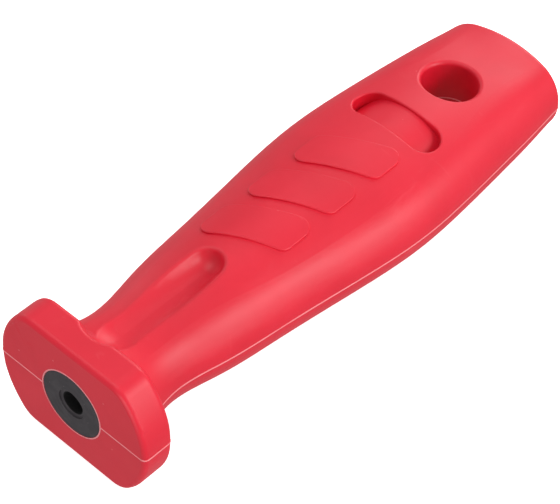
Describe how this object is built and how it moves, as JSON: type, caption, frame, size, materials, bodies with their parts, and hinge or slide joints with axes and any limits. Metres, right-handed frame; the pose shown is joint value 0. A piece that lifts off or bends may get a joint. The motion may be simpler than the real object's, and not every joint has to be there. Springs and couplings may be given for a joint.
{
  "type": "file handle",
  "caption": "Moulded plastic hand-file handle with a flat-sided guard, thumb groove, slanted finger pads, hang hole and a black bush with a tang hole.",
  "frame": {"origin": "centre of the tang hole's mouth, on the front face of the guard", "axes": "+X along the handle from the guard to the butt; +Z normal to the mould's parting plane, out of the side with the hang hole's upper mouth, thumb groove and pads; +Y across the handle, completing a right-handed frame"},
  "size_m": [0.115, 0.0342, 0.026],
  "materials": {
    "red_plastic": "satin moulded red plastic",
    "black_plastic": "dull black moulded plastic"
  },
  "bodies": {
    "root": {"grip": "red_plastic", "tang_bush": "black_plastic"}
  },
  "joints": []
}
